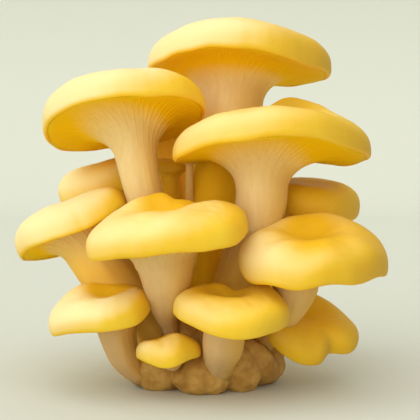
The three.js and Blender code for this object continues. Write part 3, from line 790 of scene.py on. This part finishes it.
def stem_flesh():
    """Stem and gill flesh: firm, fibrous and matt, with light deep in it. Fine fibres run up it. It is cream
    on the stem and peach down by the clump. Painted shade and bounced light make it golden out under the
    margin, less so on the lit side, and deep in the cluster; painted shade makes it golden and ochre on the
    side away from the light."""
    material, tree, place = new_material("fibrous_stem_flesh")
    up = add(tree, "Attribute", attribute_name="up")
    stem_shade_gold = add(tree, "Attribute", attribute_name="stem_shade_gold")
    far = add(tree, "Attribute", attribute_name="far")
    # Fibres are drawn 1.6 mm apart, coarser than real ones, so that they show, and long up the stem.
    # The flesh is mottled in patches of about 9 mm.
    drawn_out = add(tree, "Mapping", {"Vector": place, "Scale": (1, 1, 0.16)})
    fibres = add(tree, "TexNoise", {
        "Vector": drawn_out.outputs[0], "Scale": per_mm(1.6), "Detail": 4, "Roughness": 0.6,
    })
    blotches = add(tree, "TexNoise", {"Vector": place, "Scale": per_mm(9), "Detail": 2})
    height = add(tree, "SeparateXYZ", {"Vector": place})
    low = add(tree, "MapRange", {"Value": height.outputs["Z"], "From Min": 8 * MM, "From Max": 78 * MM})
    stem = add(tree, "Mix", {
        FACTOR: low.outputs[0], FIRST: linear("#cea874"), SECOND: linear("#eed494"),
    }, data_type="RGBA")
    streak = add(tree, "MapRange", {
        "Value": fibres.outputs["Fac"], "From Min": 0.35, "From Max": 0.7, "To Max": 0.2,
    })
    streaked = add(tree, "Mix", {
        FACTOR: streak.outputs[0], FIRST: stem.outputs[MIXED], SECOND: linear("#d9a55f"),
    }, data_type="RGBA")
    pale = add(tree, "MapRange", {
        "Value": blotches.outputs["Fac"], "From Min": 0.45, "From Max": 0.75, "To Max": 0.15,
    })
    blotched = add(tree, "Mix", {
        FACTOR: pale.outputs[0], FIRST: streaked.outputs[MIXED], SECOND: linear("#f4d6a2"),
    }, data_type="RGBA")
    # Painted shade and bounced light: golden on the gills out under the margin, and where the stems are
    # marked.
    gill_shade_gold = add(tree, "MapRange", {
        "Value": up.outputs["Fac"], "From Min": 1.0, "From Max": 1.42,
    }, interpolation_type="SMOOTHSTEP")
    stem_shade_gold_share = add(tree, "MapRange", {"Value": stem_shade_gold.outputs["Fac"]})
    painted_gold_share = add(tree, "Math", {0: gill_shade_gold.outputs[0], 1: stem_shade_gold_share.outputs[0]}, operation="MAXIMUM")
    stem_gold_painted = add(tree, "Mix", {
        FACTOR: painted_gold_share.outputs[0], FIRST: blotched.outputs[MIXED], SECOND: linear("#fac60a"),
    }, data_type="RGBA")
    # Painted shade: ochre on the side away from the light.
    darkened = add(tree, "Mix", {
        FACTOR: far.outputs["Fac"], FIRST: stem_gold_painted.outputs[MIXED], SECOND: linear("#c08c3c"),
    }, data_type="RGBA")
    relief = add(tree, "Bump", {"Height": fibres.outputs["Fac"], "Strength": 0.16, "Distance": 0.3 * MM})
    flesh = add(tree, "BsdfPrincipled", {
        "Base Color": darkened.outputs[MIXED], "Roughness": 0.62, "Normal": relief.outputs[0],
        "IOR": 1.4, "Specular IOR Level": 0.08, "Subsurface Weight": 0.35,
        "Subsurface Radius": (1.0, 0.6, 0.25), "Subsurface Scale": 3 * MM,
    })
    add(tree, "OutputMaterial", {"Surface": flesh.outputs[0]})
    return material


def clump_flesh():
    """The clump's dry, knotty flesh: ochre, with paler worn lobes; painted shade makes it darker and browner
    in its creases.
    """
    material, tree, place = new_material("knotty_clump_flesh")
    # Worn patches of about 7 mm, and a dry grain of about 1.2 mm.
    crease = add(tree, "Attribute", attribute_name="crease")
    blotches = add(tree, "TexNoise", {"Vector": place, "Scale": per_mm(7), "Detail": 4, "Roughness": 0.6})
    grain = add(tree, "TexNoise", {"Vector": place, "Scale": per_mm(1.2), "Detail": 4, "Roughness": 0.65})
    tone = add(tree, "MapRange", {"Value": blotches.outputs["Fac"], "From Min": 0.35, "From Max": 0.65})
    ochre = add(tree, "Mix", {
        FACTOR: tone.outputs[0], FIRST: linear("#aa7931"), SECOND: linear("#d0a352"),
    }, data_type="RGBA")
    # Painted shade: darker and browner in the creases.
    deep = add(tree, "MapRange", {
        "Value": crease.outputs["Fac"], "From Min": 0.3, "From Max": 1.0, "To Max": 0.8,
    })
    creased = add(tree, "Mix", {
        FACTOR: deep.outputs[0], FIRST: ochre.outputs[MIXED], SECOND: linear("#a87634"),
    }, data_type="RGBA")
    relief = add(tree, "Bump", {"Height": grain.outputs["Fac"], "Strength": 0.4, "Distance": 0.4 * MM})
    flesh = add(tree, "BsdfPrincipled", {
        "Base Color": creased.outputs[MIXED], "Roughness": 0.7, "Normal": relief.outputs[0],
        "IOR": 1.4, "Subsurface Weight": 0.15, "Subsurface Radius": (1.0, 0.6, 0.25),
        "Subsurface Scale": 2 * MM,
    })
    add(tree, "OutputMaterial", {"Surface": flesh.outputs[0]})
    return material


def backdrop_paper():
    """Matt pale paper under and behind the cluster."""
    material, tree, _ = new_material("matt_backdrop_paper")
    paper = add(tree, "BsdfPrincipled", {
        "Base Color": linear("#d0d2c2"), "Roughness": 0.9, "Specular IOR Level": 0.1,
    })
    add(tree, "OutputMaterial", {"Surface": paper.outputs[0]})
    return material


def backdrop():
    """A pale floor that sweeps up into the wall behind."""
    half_width, front, back, bend, height, steps = 1.6, -1.2, 0.9, 0.35, 1.6, 24
    line = [(front, 0.0)]
    for i in range(steps + 1):
        turn = i / steps * math.pi / 2
        line.append((back + bend * math.sin(turn), bend * (1 - math.cos(turn))))
    line.append((back + bend, height))
    corners = [(x, y, z) for y, z in line for x in (-half_width, half_width)]
    faces = [(2 * i, 2 * i + 1, 2 * i + 3, 2 * i + 2) for i in range(len(line) - 1)]
    mesh = bpy.data.meshes.new("backdrop")
    mesh.from_pydata(corners, [], faces)
    mesh.polygons.foreach_set("use_smooth", [True] * len(faces))
    mesh.materials.append(backdrop_paper())
    sweep = bpy.data.objects.new("backdrop", mesh)
    bpy.context.scene.collection.objects.link(sweep)


def far_softbox(name, direction, spread, strength, mirrored):
    """A wide soft light from far away, which falls evenly on the backdrop. The skin mirrors it or not."""
    light = bpy.data.lights.new(name, "SUN")
    light.angle = math.radians(spread)
    light.energy = strength
    holder = bpy.data.objects.new(name, light)
    holder.rotation_euler = Vector(direction).to_track_quat("Z", "Y").to_euler()
    holder.visible_glossy = mirrored
    bpy.context.scene.collection.objects.link(holder)


def studio():
    """Soft studio light: a large softbox to the upper left in front, a dim one low down, and pale air."""
    far_softbox("key", (-0.3, -0.4, 0.87), 78, 1.35, mirrored=True)
    far_softbox("low_fill", (-0.5, -0.86, 0), 60, 0.85, mirrored=False)
    world = bpy.data.worlds.new("studio_air")
    bpy.context.scene.world = world
    world.use_nodes = True
    air = world.node_tree.nodes["Background"]
    air.inputs["Color"].default_value = linear("#ffffff")
    air.inputs["Strength"].default_value = 0.8
    world.cycles_visibility.glossy = False


def camera():
    """The photograph's view: level with the cluster, from in front and slightly above."""
    lens, distance, height, aim = 90, 0.4, math.radians(3.5), (0.001, 0, 0.0655)
    seen = bpy.data.cameras.new("camera")
    seen.lens = lens
    seen.sensor_width = 36
    seen.clip_start = 0.01
    holder = bpy.data.objects.new("camera", seen)
    holder.location = (aim[0], -distance * math.cos(height), aim[2] + distance * math.sin(height))
    holder.rotation_euler = (math.pi / 2 - height, 0, 0)
    bpy.context.scene.collection.objects.link(holder)
    bpy.context.scene.camera = holder


bpy.context.scene.view_settings.view_transform = "Standard"

skin, flesh, knots = cap_skin(), stem_flesh(), clump_flesh()
for number, mushroom in enumerate(MUSHROOMS):
    cap_piece(mushroom, number, skin)
    stem_piece(mushroom, number, flesh)
clump_piece(knots)
backdrop()
studio()
camera()
